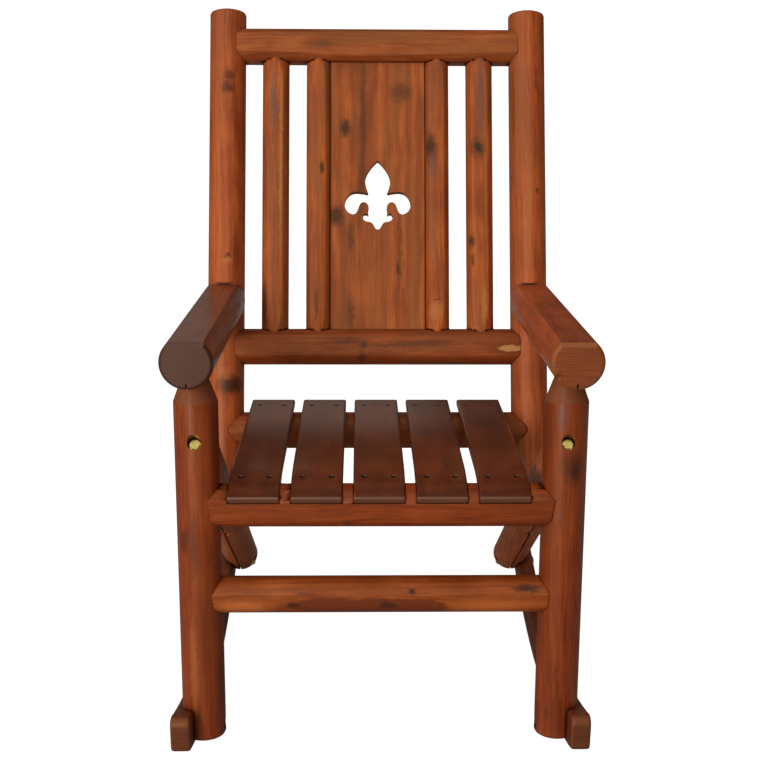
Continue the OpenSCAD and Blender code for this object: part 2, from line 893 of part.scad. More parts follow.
// The right half of the lily, drawn down from its tip at its real size of lily_draw_h
lily_draw_h = 125.3;
lily_half = concat(
    [[0, 0]],
    curve([[0, 0], [8, 6], [22.5, 24], [22.5, 36]]),
    curve([[22.5, 36], [22.5, 45], [19.5, 53], [16.8, 60.3]]),
    curve([[16.8, 60.3], [24, 58.5], [31, 57.2], [38.8, 57.2]]),
    curve([[38.8, 57.2], [50, 57.2], [59.2, 68], [59.2, 80]]),
    curve([[59.2, 80], [59.2, 89], [52, 97.8], [43.7, 97.8]]),
    curve([[43.7, 97.8], [33, 97.8], [36, 75.5], [25.8, 75.5]]),
    curve([[25.8, 75.5], [19.5, 75.5], [16.1, 80.5], [16.1, 86.8]]),
    curve([[16.1, 86.8], [17.6, 90.5], [17.4, 95], [16.5, 99.2]]),
    curve([[16.5, 99.2], [21, 94.5], [26.7, 96.5], [26.7, 102]]),
    curve([[26.7, 102], [26.7, 109.5], [21, 111], [14, 111.6]]),
    curve([[14, 111.6], [6, 112.5], [7, 125.3], [0, 125.3]])
);

module lily(h) {
    size = h / lily_draw_h;
    middle = lily_draw_h / 2;
    polygon(concat(
        [for (p = lily_half) size * [p[0], middle - p[1]]],
        [for (i = [len(lily_half) - 2:-1:1]) size * [-lily_half[i][0], middle - lily_half[i][1]]]
    ));
}

// A board's section with its long edges chamfered
module board_section(w, t, chamfer) {
    x = w / 2;
    y = t / 2;
    polygon([
        [x - chamfer, y], [chamfer - x, y], [-x, y - chamfer], [-x, chamfer - y],
        [chamfer - x, -y], [x - chamfer, -y], [x, chamfer - y], [x, y - chamfer]
    ]);
}

module back_panel() {
    half = (high_rail_at - low_rail_at) / 2 - back_rail_r + panel_in;
    color("#9a4a20") stand() on_back() translate([0, 0, back_mid_at]) difference() {
        linear_extrude(height = 2 * half, center = true) board_section(panel_w, panel_t, panel_chamfer);
        translate([0, 0, lily_up]) rotate([90, 0, 0])
            linear_extrude(height = 2 * panel_t, center = true) lily(lily_h);
    }
}

// Seat

module slat_shape() {
    rotate([90, 0, 90]) linear_extrude(height = slat_w, center = true)
        polygon(concat(seat_path(0), reversed(seat_path(slat_t))));
}

function slat_x(i) = seat_x + (i - (slat_count - 1) / 2) * slat_pitch;
screw_ys = [
    front_axis_y(seat_rail_h) + front_screw_back,
    back_axis_y(rear_rail_h) + rear_screw_back
];

// At each seat screw, on the seat's surface and square to it
module at_screws() {
    for (i = [0:slat_count - 1]) at_slat_screws(i) children();
}

module at_slat_screws(i) {
    for (side = [left, right], y = screw_ys)
        translate([slat_x(i) + side * (slat_w / 2 - screw_edge), y, seat_top(y)])
            rotate([-seat_tilt(y), 0, 0]) children();
}

// The cone of a countersunk head, and a screw below the surface with its axis down from z = 0
screw_head_h = (screw_head_d - screw_d) / 2;

module screw() {
    turned([
        [0, -screw_sunk],
        [screw_head_d / 2, -screw_sunk],
        [screw_d / 2, -screw_sunk - screw_head_h],
        [screw_d / 2, -screw_sunk - screw_l + screw_d],
        [0, -screw_sunk - screw_l]
    ]);
}

module screw_hole() {
    turned([
        [0, 1],
        [screw_head_d / 2 + bore_fit, 1],
        [screw_head_d / 2 + bore_fit, -screw_sunk],
        [screw_d / 2 + bore_fit, -screw_sunk - screw_head_h],
        [screw_d / 2 + bore_fit, -screw_sunk - screw_l - end_fit],
        [0, -screw_sunk - screw_l - end_fit]
    ]);
}

module seat_slat(i) {
    color("#6f3a28") stand() difference() {
        translate([slat_x(i), 0, 0]) slat_shape();
        at_slat_screws(i) screw_hole();
    }
}

// Hardware

module leg_bolts() {
    color("#d9c24a") stand() on_both_sides() at_leg_bolt() bolt(long_bolt_l);
}

module back_post_bolts() {
    color("#d9c24a") stand() on_both_sides() at_back_bolt() bolt(back_bolt_l);
}

module arm_bolts() {
    color("#d9c24a") stand() on_both_sides() at_arm_bolt() bolt(long_bolt_l);
}

module rocker_bolts() {
    color("#d9c24a") stand() on_both_sides() at_rocker_bolts() rocker_bolt();
}

module washers() {
    color("#d9c24a") stand() on_both_sides() {
        at_leg_bolt() washer();
        at_back_bolt() washer();
        at_arm_bolt() washer();
        at_rocker_bolts() translate([0, 0, rocker_nut_x - rocker_out_x - washer_t]) washer();
    }
}

module barrel_nuts() {
    color("#c9c9c4") stand() on_both_sides() {
        at_leg_bolt() barrel_nut(long_bolt_l);
        at_back_bolt() barrel_nut(back_bolt_l);
        at_arm_bolt() rotate([0, 0, 90]) barrel_nut(long_bolt_l);
    }
}

module rocker_nuts() {
    color("#d9c24a") stand() on_both_sides() at_rocker_bolts()
        translate([0, 0, rocker_nut_x - rocker_out_x - washer_t - hex_h]) difference() {
            hexagon();
            translate([0, 0, -1]) cylinder(d = bolt_d, h = hex_h + 2);
        }
}

module seat_screws() {
    color("#8c7f63") stand() at_screws() screw();
}

front_post_left();
front_post_right();
rear_leg_left();
rear_leg_right();
back_post_left();
back_post_right();
arm_left();
arm_right();
rocker_left();
rocker_right();
seat_front_rail();
seat_rear_rail();
front_stretcher();
back_rail_top();
back_rail_bottom();
back_spindle_1();
back_spindle_2();
back_spindle_3();
back_spindle_4();
back_panel();
seat_slat(0);  // seat_slat_1
seat_slat(1);  // seat_slat_2
seat_slat(2);  // seat_slat_3
seat_slat(3);  // seat_slat_4
seat_slat(4);  // seat_slat_5
leg_bolts();
back_post_bolts();
arm_bolts();
rocker_bolts();
washers();
barrel_nuts();
rocker_nuts();
seat_screws();
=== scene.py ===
"""The log rocking chair's eased shapes, finishes, light and camera."""
import math
from collections import namedtuple

import bmesh
import bpy
from mathutils import Matrix, Vector


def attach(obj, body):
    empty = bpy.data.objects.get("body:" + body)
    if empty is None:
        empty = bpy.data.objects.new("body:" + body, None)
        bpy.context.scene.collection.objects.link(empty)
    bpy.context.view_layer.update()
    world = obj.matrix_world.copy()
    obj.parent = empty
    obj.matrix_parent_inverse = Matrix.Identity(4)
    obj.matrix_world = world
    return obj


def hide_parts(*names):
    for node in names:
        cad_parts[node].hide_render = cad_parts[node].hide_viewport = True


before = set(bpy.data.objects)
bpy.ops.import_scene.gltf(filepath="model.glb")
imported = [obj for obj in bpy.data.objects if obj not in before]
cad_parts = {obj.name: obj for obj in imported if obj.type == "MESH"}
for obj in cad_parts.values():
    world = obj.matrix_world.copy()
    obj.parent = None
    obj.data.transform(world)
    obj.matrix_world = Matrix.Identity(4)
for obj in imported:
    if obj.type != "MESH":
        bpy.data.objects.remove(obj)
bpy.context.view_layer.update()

# The object that shows each node: the node's own, or the piece that stands for it
shown = dict(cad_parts)

MM = 0.001

# The part's own driving sizes, in millimetres and degrees. A pair is a depth behind the front
# posts' feet and a height.
SIDE_X = 270
MIDDLE_Y = -346.5
FRONT_LEAN = 5
BACK_LEAN = 21
LEG_ANGLE = 37
ARM_SLOPE = 3.54
FRONT_FOOT_H = 67
NECK_MM = 523
BACK_JOINT = (360.7, 271.9)
LEG_FOOT = (622, 75)
ARM_FRONT = (-21.8, 663.6)
SEAT_RAIL_H = 430.5
STRETCHER_H = 291
REAR_RAIL = (414, 411)
LOW_RAIL_H = 551
HIGH_RAIL_H = 1059.5
SPINDLE_X = (-183, -106, 106, 183)
SEAT_X = -3
SLAT_PITCH = 92
SLATS = 5


def linear(hex_colour):
    """An sRGB hex colour as linear RGBA."""
    parts = [int(hex_colour[i:i + 2], 16) / 255 for i in (1, 3, 5)]
    return [c / 12.92 if c <= 0.04045 else ((c + 0.055) / 1.055) ** 2.4 for c in parts] + [1.0]


def feed(tree, node, inputs):
    """Gives a node its inputs. Each is a value, or a socket to link."""
    for key, value in inputs.items():
        if isinstance(value, bpy.types.NodeSocket):
            tree.links.new(value, node.inputs[key])
        else:
            node.inputs[key].default_value = value


def add(tree, kind, inputs=None, **settings):
    """Adds one node with its settings and inputs."""
    made = tree.nodes.new(kind)
    for name, value in settings.items():
        setattr(made, name, value)
    feed(tree, made, inputs or {})
    return made


def new_material(name):
    material = bpy.data.materials.new(name)
    material.use_nodes = True
    return material, material.node_tree, material.node_tree.nodes["Principled BSDF"]


def into_scene(name, data):
    made = bpy.data.objects.new(name, data)
    bpy.context.scene.collection.objects.link(made)
    return made


# Places of the pieces. Each is the start of a log's centre line and the turn that takes z along
# the log. The front of a post is at -y.
def place(depth, height, turn, x=0):
    return {"at": (x * MM, (MIDDLE_Y + depth) * MM, height * MM),
            "turn": [math.radians(a) for a in turn]}


def back_y(height):
    return BACK_JOINT[0] + (height - BACK_JOINT[1]) * math.tan(math.radians(BACK_LEAN))


def front_y(height):
    return (height - FRONT_FOOT_H) * math.tan(math.radians(FRONT_LEAN))


def front_post_place(x):
    return place(0, FRONT_FOOT_H, (-FRONT_LEAN, 0, 0), x)


def back_post_place(x):
    return place(*BACK_JOINT, (-BACK_LEAN, 0, 0), x)


def leg_place(x):
    return place(*LEG_FOOT, (90 - LEG_ANGLE, 0, 0), x)


def arm_place(x):
    return place(*ARM_FRONT, (-90 - ARM_SLOPE, 0, 0), x)


def rail_place(depth, height):
    return place(depth, height, (0, 90, 0))


def back_place(x):
    """The middle of the back, between its two rails."""
    middle = (LOW_RAIL_H + HIGH_RAIL_H) / 2
    return place(back_y(middle), middle, (-BACK_LEAN, 0, 0), x)


def plank_place(x):
    return place(0, 0, (-90, 0, 0), x)


# Stain tones of each group of logs: the grain's dark, middle and light, a browner patch, the cut
# end and its eased rim.
# The front logs' tones are darkened, and the rear legs' lightened, to paint in shade and light.
Tones = namedtuple("Tones", "dark mid light brown end rim")
POST = Tones("#863615", "#a54c20", "#ba5d2a", "#8b4c27", "#763b1e", "#974720")
# The posts' stain made darker for the front posts and seat front rail: painted shade, as these
# logs face the light less than the leaning back
SHADED_FRONT = Tones("#66230a", "#7f330f", "#934117", "#6b2d0f", "#5a2a14", "#763412")
# The posts' stain made lighter for the rear legs: painted light, as the legs stand in the seat's
# shadow
LIT_LEG = Tones("#87411e", "#ad5728", "#cc6e35", "#945028", "#874824", "#a05727")
BACK_RAIL = Tones("#7a3613", "#96481e", "#aa5a28", "#7c4621", "#6d3b1c", "#93451e")
STRETCHER = Tones("#6f2c07", "#883d13", "#9f5020", "#743310", "#572714", "#763116")
LOW_RAIL = Tones("#6a270c", "#843a15", "#98491e", "#683416", "#683418", "#8c3f1a")
SPINDLE = Tones("#813916", "#9d491d", "#b65d26", "#804829", "#6b391c", "#92431d")
PANEL = Tones("#803a15", "#9d4b1e", "#b25c27", "#834921", "#6f381a", "#b06530")
ARM_LEFT = Tones("#502211", "#6a2e17", "#844027", "#5f321e", "#411d11", "#411d10")
ARM_RIGHT = Tones("#7d3414", "#9f451d", "#be5a27", "#884722", "#7d3a17", "#8a491f")
SLAT = Tones("#481c07", "#5d260e", "#703316", "#502713", "#5e2f15", "#50200b")
ROCKER = Tones("#532311", "#6b321a", "#7d4224", "#57301a", "#5d2f19", "#6b381e")
NECK = "#7a4023"
# Colour of the painted shade where pieces meet and in hollows
CORNER_SHADE = "#58463c"
SHEEN_TINT = "#ffd3a6"

# Tones of the marks
KNOT = "#2b140a"
CRACK = "#1d0f09"
SMUDGE = "#431f11"
# Greyish patches are painted sheen: light reflected by the varnish, drawn into the colour
SHEEN_GREY = "#5f4a42"
# Pale patches and lines are painted highlights
PALE_HIGHLIGHT = "#b26a35"
BARE = "#b98350"
DARK_BAND = "#6b2c12"
DARK_STREAK = "#6b2a14"
LIGHT_BAND = "#b3602c"
RED_BAND = "#b05c28"

# How thickly the varnish lies on a group of logs, and how rough it is
FRONT_VARNISH = {"coat": 0.16, "coat_roughness": 0.25}
POST_VARNISH = {"coat": 0.08, "coat_roughness": 0.3}
ARM_LEFT_VARNISH = {"coat": 0.65, "coat_roughness": 0.26}
ARM_RIGHT_VARNISH = {"coat": 0.4, "coat_roughness": 0.26}
SLAT_VARNISH = {"coat": 1.0, "coat_roughness": 0.28}

# The pith of a log lies a little off its middle, and that of a plank outside it, in millimetres
LOG_PITH = (9, -7)
RAIL_PITH = (-6, 8)
ARM_PITH = (4, 6)
BOARD_PITH = (20, 60)
SLAT_PITH = (10, -430)
ROCKER_PITH = (20, 40)

# Layers of the grain: cells to the metre across the log, in depth and along it, and how much
# finer detail each has. Streaks are 15 mm wide and 330 mm long, grain lines 2.4 mm and 170 mm,
# and fibres 1 mm and 70 mm: real fibres are finer, and these are as coarse as they need to be to
# show. Patches of browner wood are 40 mm wide, and clouds, where the stain took unevenly, 33 mm.
GRAIN = {
    "streaks": ((66, 66, 3.0), 1.0),
    "lines": ((420, 420, 6.0), 2.0),
    "fibres": ((950, 950, 15.0), 1.0),
    "patches": ((24, 24, 3.4), 2.0),
    "clouds": ((30, 30, 14), 3.0),
}
GRAIN_STRENGTH = {"streaks": 0.34, "lines": 0.65, "fibres": 0.55, "clouds": 0.8}
BENDS_PER_M = 7.0
BEND_REACH = (0.012, 0.012, 0.0)
SAW_MARKS_PER_M = (22, 500, 22)
RAGGED_PER_M = 90.0
KNOT_RAGGED = 10 * MM
CRACK_WANDER = 4 * MM
# Blender's ring wave turns by this many radians for each unit of distance and scale
WAVE_TURN = 20
# How far the pith is out of line with the log, in radians
PITH_LEAN = (0.012, 0.009, 0)
# The board is glued up from strips of this width, which differ in tone by up to STRIP_STEP
STRIP_MM = 41.25
STRIP_STEP = 0.2
# A cut end and a turned neck are this much rougher, and the neck's tone comes in over 3 mm
END_DULLING = 0.15
NECK_DULLING = 0.2
NECK_SHARE = 0.85
NECK_FADE = 3
EASED_EDGE = 2.2 * MM
PORE_DEPTH = 0.3 * MM
# How far the painted shade where pieces meet reaches
CORNER_SHADE_REACH = 14 * MM
MOTTLE_PER_M = 260.0
MOTTLE_ROUGHNESS = 0.08

# A mark fades over this share of its reach, so it is drawn this much larger than its dark part.
# One whose half width is under CRACK_WIDTH is a crack, and keeps its size.
MARK_FADE = 0.8
MARK_SPREAD = 1.85
MARK_DEPTH = 1.3
CRACK_WIDTH = 2.5


def log_axes(tree, where):
    """The point and the facing of the surface, both turned so that z runs along the log."""
    coord = add(tree, "ShaderNodeTexCoord")
    local = add(tree, "ShaderNodeMapping",
                {"Vector": coord.outputs["Object"], "Location": where["at"],
                 "Rotation": where["turn"]}, vector_type="TEXTURE")
    facing = add(tree, "ShaderNodeMapping",
                 {"Vector": coord.outputs["Normal"], "Rotation": where["turn"]},
                 vector_type="TEXTURE")
    return local.outputs[0], facing.outputs[0]


def grain_layers(tree, local, seed, pith, ring_mm):
    """Streaks, lines, fibres, patches, clouds and growth rings, bent by the log's slow bends."""
    # A bend is about 140 mm long and carries the grain 3 mm to each side
    bend = add(tree, "ShaderNodeTexNoise",
               {"Vector": local, "W": seed + 0.5, "Scale": BENDS_PER_M, "Detail": 1.0},
               noise_dimensions="4D")
    bent = add(tree, "ShaderNodeVectorMath", {0: bend.outputs["Color"], 1: BEND_REACH, 2: local},
               operation="MULTIPLY_ADD").outputs[0]
    layers = {}
    for layer, (cells, detail) in GRAIN.items():
        stretched = add(tree, "ShaderNodeVectorMath", {0: bent, 1: cells}, operation="MULTIPLY")
        layers[layer] = add(tree, "ShaderNodeTexNoise",
                            {"Vector": stretched.outputs[0], "W": seed + len(layers),
                             "Scale": 1.0, "Detail": detail},
                            noise_dimensions="4D").outputs["Fac"]
    # Rings lie round the pith, which isn't quite in line with the log, so that planed faces cut
    # them into long arches
    ring_place = add(tree, "ShaderNodeMapping",
                     {"Vector": bent, "Location": (pith[0] * MM, pith[1] * MM, 0),
                      "Rotation": PITH_LEAN})
    layers["rings"] = add(tree, "ShaderNodeTexWave",
                          {"Vector": ring_place.outputs[0],
                           "Scale": 2 * math.pi / (WAVE_TURN * ring_mm * MM),
                           "Distortion": 2.0, "Detail": 1.0, "Detail Scale": 0.6},
                          wave_type="RINGS", rings_direction="Z").outputs["Fac"]
    return layers


def grain_tone(tree, layers, figure):
    """The layers added up to one tone, with 0.5 as its middle."""
    strengths = {**GRAIN_STRENGTH, "rings": figure}
    tone = 0.5 - sum(strengths.values()) / 2
    for layer, strength in strengths.items():
        tone = add(tree, "ShaderNodeMath", {0: layers[layer], 1: strength, 2: tone},
                   operation="MULTIPLY_ADD").outputs[0]
    return tone


def glued_strips(tree, local, tone, strip_mm):
    """Makes each strip of a glued board a little lighter or darker than the next."""
    across = add(tree, "ShaderNodeSeparateXYZ", {0: local})
    count = add(tree, "ShaderNodeMath", {0: across.outputs[0], 1: strip_mm * MM},
                operation="DIVIDE")
    strip = add(tree, "ShaderNodeMath", {0: count.outputs[0]}, operation="FLOOR")
    strip_tone = add(tree, "ShaderNodeTexWhiteNoise", {"W": strip.outputs[0]},
                     noise_dimensions="1D")
    lighter = add(tree, "ShaderNodeMath", {0: strip_tone.outputs["Value"], 1: STRIP_STEP, 2: tone},
                  operation="MULTIPLY_ADD")
    return add(tree, "ShaderNodeMath", {0: lighter.outputs[0], 1: STRIP_STEP / 2},
               operation="SUBTRACT").outputs[0]


def stain_colour(tree, tone, patches, tones):
    """The tone in the stain's dark, middle and light, with browner patches."""
    low = add(tree, "ShaderNodeMapRange", {"Value": tone, "From Min": 0.25, "From Max": 0.5})
    high = add(tree, "ShaderNodeMapRange", {"Value": tone, "From Min": 0.5, "From Max": 0.75})
    browner = add(tree, "ShaderNodeMapRange",
                  {"Value": patches, "From Min": 0.45, "From Max": 0.7, "To Max": 0.75},
                  interpolation_type="SMOOTHSTEP")
    colour = linear(tones.dark)
    for part, next_tone in ((low, tones.mid), (high, tones.light), (browner, tones.brown)):
        colour = add(tree, "ShaderNodeMix",
                     {0: part.outputs[0], 6: colour, 7: linear(next_tone)},
                     data_type="RGBA").outputs[2]
    return colour


def soft_spot(tree, point, at, half):
    """A round or long soft spot: 1 in its middle and 0 outside."""
    near = add(tree, "ShaderNodeMapping",
               {"Vector": point, "Location": [c * MM for c in at],
                "Scale": (half[0] * MM, half[0] * MM, half[1] * MM)}, vector_type="TEXTURE")
    far = add(tree, "ShaderNodeVectorMath", {0: near.outputs[0]}, operation="LENGTH")
    return add(tree, "ShaderNodeMapRange",
               {"Value": far.outputs["Value"], "From Min": 1.0, "From Max": 1.0 - MARK_FADE},
               interpolation_type="SMOOTHSTEP").outputs[0]


def draw_marks(tree, local, seed, colour, marks):
    """Draws knots, smudges, cracks and bare places, and painted sheen and painted highlights.

    A mark is its point on the surface, half its width and half its length along the log, all in
    millimetres, its tone and its strength.
    """
    # Knots and smudges are ragged by up to 5 mm, and cracks wander by up to 2 mm
    rough_edge = add(tree, "ShaderNodeTexNoise",
                     {"Vector": local, "W": seed, "Scale": RAGGED_PER_M, "Detail": 2.0},
                     noise_dimensions="4D")
    shift = add(tree, "ShaderNodeVectorMath",
                {0: rough_edge.outputs["Color"], 1: (0.5, 0.5, 0.5)}, operation="SUBTRACT")
    points = {}
    for kind, reach in (("knot", KNOT_RAGGED), ("crack", CRACK_WANDER)):
        points[kind] = add(tree, "ShaderNodeVectorMath",
                           {0: shift.outputs[0], 1: (reach, reach, 2 * reach), 2: local},
                           operation="MULTIPLY_ADD").outputs[0]
    for at, half, mark_tone, strength in marks:
        kind = "knot" if min(half) >= CRACK_WIDTH else "crack"
        spread = MARK_SPREAD if kind == "knot" else 1.0
        spot = soft_spot(tree, points[kind], at, [spread * h for h in half])
        part = add(tree, "ShaderNodeMath", {0: spot, 1: MARK_DEPTH * strength},
                   operation="MULTIPLY", use_clamp=True)
        colour = add(tree, "ShaderNodeMix",
                     {0: part.outputs[0], 6: colour, 7: linear(mark_tone)},
                     data_type="RGBA").outputs[2]
    return colour


def cut_end(tree, local, facing, seed, tones, colour):
    """A cut end drinks more stain and keeps the saw's marks, 2 mm apart. Its rim is sanded."""
    along = add(tree, "ShaderNodeSeparateXYZ", {0: facing})
    endways = add(tree, "ShaderNodeMath", {0: along.outputs[2]}, operation="ABSOLUTE").outputs[0]
    # From 0, where the surface faces sideways, to 1, where it faces along the log
    masks = {}
    for part, lowest, highest in (("rim", 0.25, 0.45), ("end", 0.86, 0.95)):
        masks[part] = add(tree, "ShaderNodeMapRange",
                          {"Value": endways, "From Min": lowest, "From Max": highest},
                          interpolation_type="SMOOTHSTEP").outputs[0]
    saw_place = add(tree, "ShaderNodeVectorMath", {0: local, 1: SAW_MARKS_PER_M},
                    operation="MULTIPLY")
    saw = add(tree, "ShaderNodeTexNoise",
              {"Vector": saw_place.outputs[0], "W": seed, "Scale": 1.0, "Detail": 3.0},
              noise_dimensions="4D")
    saw_tone = add(tree, "ShaderNodeMapRange",
                   {"Value": saw.outputs["Fac"], "From Min": 0.3, "From Max": 0.7,
                    "To Min": 0.7, "To Max": 1.25})
    end_colour = add(tree, "ShaderNodeMix",
                     {0: 1.0, 6: linear(tones.end), 7: saw_tone.outputs[0]},
                     data_type="RGBA", blend_type="MULTIPLY").outputs[2]
    for mask, own_colour in ((masks["rim"], linear(tones.rim)), (masks["end"], end_colour)):
        colour = add(tree, "ShaderNodeMix", {0: mask, 6: colour, 7: own_colour},
                     data_type="RGBA").outputs[2]
    return colour, masks["end"]


def turned_neck(tree, local, neck_mm, colour, roughness):
    """The turned neck cuts across the grain, so it is darker and duller."""
    height = add(tree, "ShaderNodeSeparateXYZ", {0: local})
    neck = add(tree, "ShaderNodeMapRange",
               {"Value": height.outputs[2], "From Min": neck_mm * MM,
                "From Max": (neck_mm + NECK_FADE) * MM}).outputs[0]
    neck_part = add(tree, "ShaderNodeMath", {0: neck, 1: NECK_SHARE}, operation="MULTIPLY")
    colour = add(tree, "ShaderNodeMix", {0: neck_part.outputs[0], 6: colour, 7: linear(NECK)},
                 data_type="RGBA").outputs[2]
    roughness = add(tree, "ShaderNodeMath", {0: neck, 1: NECK_DULLING, 2: roughness},
                    operation="MULTIPLY_ADD").outputs[0]
    return colour, roughness


def painted_corner_shade(tree, colour):
    """Painted shade: darkens the colour where pieces meet and in hollows, as ambient occlusion
    finds them.
    """
    corner = add(tree, "ShaderNodeAmbientOcclusion", {"Distance": CORNER_SHADE_REACH}, samples=6)
    shade_share = add(tree, "ShaderNodeMapRange",
                 {"Value": corner.outputs["AO"], "From Min": 0.2, "From Max": 0.8})
    shade = add(tree, "ShaderNodeMix",
                {0: shade_share.outputs[0], 6: linear(CORNER_SHADE), 7: linear("#ffffff")},
                data_type="RGBA")
    return add(tree, "ShaderNodeMix", {0: 1.0, 6: colour, 7: shade.outputs[2]},
               data_type="RGBA", blend_type="MULTIPLY").outputs[2]


def varnished_softwood(name, where, tones, seed, marks=(), strip_mm=0, neck_mm=0, pith=LOG_PITH,
                       ring_mm=6.0, figure=0.1, coat=0.0, coat_roughness=0.2):
    """Sanded softwood, stained red-brown and brushed with satin varnish.

    It gives the eye soft long streaks, fine grain lines and a mild warm gloss. The pattern is
    solid, so it runs through a piece and round its faces as real grain does.
    """
    material, tree, shader = new_material(name)
    local, facing = log_axes(tree, where)
    layers = grain_layers(tree, local, seed, pith, ring_mm)
    tone = grain_tone(tree, layers, figure)
    if strip_mm:
        tone = glued_strips(tree, local, tone, strip_mm)
    colour = stain_colour(tree, tone, layers["patches"], tones)
    colour = draw_marks(tree, local, seed, colour, marks)
    colour, end_mask = cut_end(tree, local, facing, seed, tones, colour)
    sanded = add(tree, "ShaderNodeMapRange",
                 {"Value": layers["lines"], "From Min": 0.3, "From Max": 0.7,
                  "To Min": 0.42, "To Max": 0.56})
    roughness = add(tree, "ShaderNodeMath", {0: end_mask, 1: END_DULLING, 2: sanded.outputs[0]},
                    operation="MULTIPLY_ADD").outputs[0]
    if neck_mm:
        colour, roughness = turned_neck(tree, local, neck_mm, colour, roughness)
    # Sanding has eased every edge by about 2 mm, and the varnish sinks into the pores
    eased = add(tree, "ShaderNodeBevel", {"Radius": EASED_EDGE}, samples=4)
    pores = add(tree, "ShaderNodeMath", {0: layers["fibres"], 1: layers["lines"]},
                operation="ADD")
    bump = add(tree, "ShaderNodeBump",
               {"Strength": 0.2, "Distance": PORE_DEPTH, "Height": pores.outputs[0],
                "Normal": eased.outputs[0]})
    feed(tree, shader, {
        "Base Color": painted_corner_shade(tree, colour),
        "Roughness": roughness,
        "Normal": bump.outputs[0],
        "IOR": 1.5,
        "Specular Tint": linear(SHEEN_TINT),
        "Coat Weight": coat,
        "Coat Roughness": coat_roughness,
    })
    return material


def plated_steel(name, dark, bright, roughness):
    """Zinc-plated and passivated steel: fairly bright, with a mottle about 4 mm wide."""
    material, tree, shader = new_material(name)
    coord = add(tree, "ShaderNodeTexCoord")
    mottle = add(tree, "ShaderNodeTexNoise",
                 {"Vector": coord.outputs["Object"], "Scale": MOTTLE_PER_M, "Detail": 2.0})
    colour = add(tree, "ShaderNodeMix",
                 {0: mottle.outputs["Fac"], 6: linear(dark), 7: linear(bright)},
                 data_type="RGBA")
    rough = add(tree, "ShaderNodeMapRange",
                {"Value": mottle.outputs["Fac"], "To Min": roughness - MOTTLE_ROUGHNESS,
                 "To Max": roughness + MOTTLE_ROUGHNESS})
    feed(tree, shader, {"Base Color": colour.outputs[2], "Roughness": rough.outputs[0],
                        "Metallic": 1.0})
    return material


# Own pieces: each is a node's shape with one small change. Points closer than WELD are one,
# faces within SAME_PLANE are one, and edges shorter than SLIVER go.
WELD = 0.001 * MM
SAME_PLANE = math.radians(0.2)
SLIVER = 0.02 * MM
LOG_SMOOTH = 30
PLANK_SMOOTH = 50

# Sizes of the changes, in millimetres. A rail's planed front lies RAIL_FRONT before its middle.
# The board's edges are further out than PANEL_EDGE. A spindle is full up to SPINDLE_FULL from
# its middle, then narrows over SPINDLE_TAPER to a tenon, at first slowly, by SPINDLE_LOSS.
RAIL_FRONT = 27.6
RAIL_SANDING = 6
ROCKER_EDGE = 5
SLAT_EDGE = 3.5
PANEL_EDGE = 79
PANEL_LET_IN = 2.5
SPINDLE_FULL = 198
SPINDLE_TAPER = 42
SPINDLE_TENON = 12.8
SPINDLE_LOSS = 0.14
SLOW_PART = 0.6
SLOW_RATE = 0.58
SLOW_LOSS = 0.35


def reshaped(name, piece_name, slot_name, change, *sizes, smooth_to=LOG_SMOOTH):
    """A piece that stands for a node, made from its shape by one change to the mesh."""
    piece = into_scene(piece_name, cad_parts[name].data.copy())
    shape = bmesh.new()
    shape.from_mesh(piece.data)
    bmesh.ops.remove_doubles(shape, verts=shape.verts, dist=WELD)
    bmesh.ops.dissolve_limit(shape, angle_limit=SAME_PLANE, verts=shape.verts, edges=shape.edges)
    change(shape, *sizes)
    bmesh.ops.triangulate(shape, faces=[f for f in shape.faces if len(f.verts) > 4])
    bmesh.ops.dissolve_degenerate(shape, edges=shape.edges, dist=SLIVER)
    bmesh.ops.recalc_face_normals(shape, faces=shape.faces)
    shape.to_mesh(piece.data)
    shape.free()
    piece.data.shade_smooth()
    piece.data.set_sharp_from_angle(angle=math.radians(smooth_to))
    even = piece.modifiers.new("flat_faces_stay_flat", "WEIGHTED_NORMAL")
    even.keep_sharp = True
    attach(piece, "root")
    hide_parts(name)
    shown[name] = piece


def plane_front(shape):
    """Planes a back rail's front flat up to its ends, which then lap the posts less."""
    lean = math.radians(BACK_LEAN)
    front = Vector((0, -math.cos(lean), math.sin(lean)))
    middle = Vector(rail_place(back_y(HIGH_RAIL_H), HIGH_RAIL_H)["at"])
    bmesh.ops.bisect_plane(shape, geom=shape.verts[:] + shape.edges[:] + shape.faces[:],
                           plane_co=middle + RAIL_FRONT * MM * front, plane_no=front,
                           clear_outer=True)
    bmesh.ops.holes_fill(shape, edges=[e for e in shape.edges if e.is_boundary])


def widen_board(shape):
    """Moves the board's long edges out to the spindles, into which it is let."""
    for vertex in shape.verts:
        if abs(vertex.co.x) > PANEL_EDGE * MM:
            vertex.co.x += math.copysign(PANEL_LET_IN * MM, vertex.co.x)


def round_edges(shape, radius, sharper_than, blunter_than, longer_than):
    """Rounds the runs of edges that turn by as many degrees and are as long as asked."""
    sharpest, bluntest = math.radians(blunter_than), math.radians(sharper_than)
    left = {e for e in shape.edges
            if e.is_manifold and bluntest < e.calc_face_angle() < sharpest}
    chosen = []
    while left:
        run, ends = [], [left.pop()]
        while ends:
            edge = ends.pop()
            run.append(edge)
            for joined in {e for vertex in edge.verts for e in vertex.link_edges} & left:
                left.remove(joined)
                ends.append(joined)
        if sum(e.calc_length() for e in run) > longer_than * MM:
            chosen += run
    bmesh.ops.bevel(shape, geom=chosen, offset=radius * MM, offset_type="OFFSET", segments=3,
                    profile=0.5, affect="EDGES", clamp_overlap=False)


def round_outline(shape, radius):
    """Eases a plank's outline. Its bores are shorter runs, so they keep their edge."""
    round_edges(shape, radius, sharper_than=40, blunter_than=180, longer_than=450)


def soften_flat(shape):
    """Sands the long edges of a rail's planed flats until they run into the round."""
    round_edges(shape, RAIL_SANDING, sharper_than=18, blunter_than=60, longer_than=350)


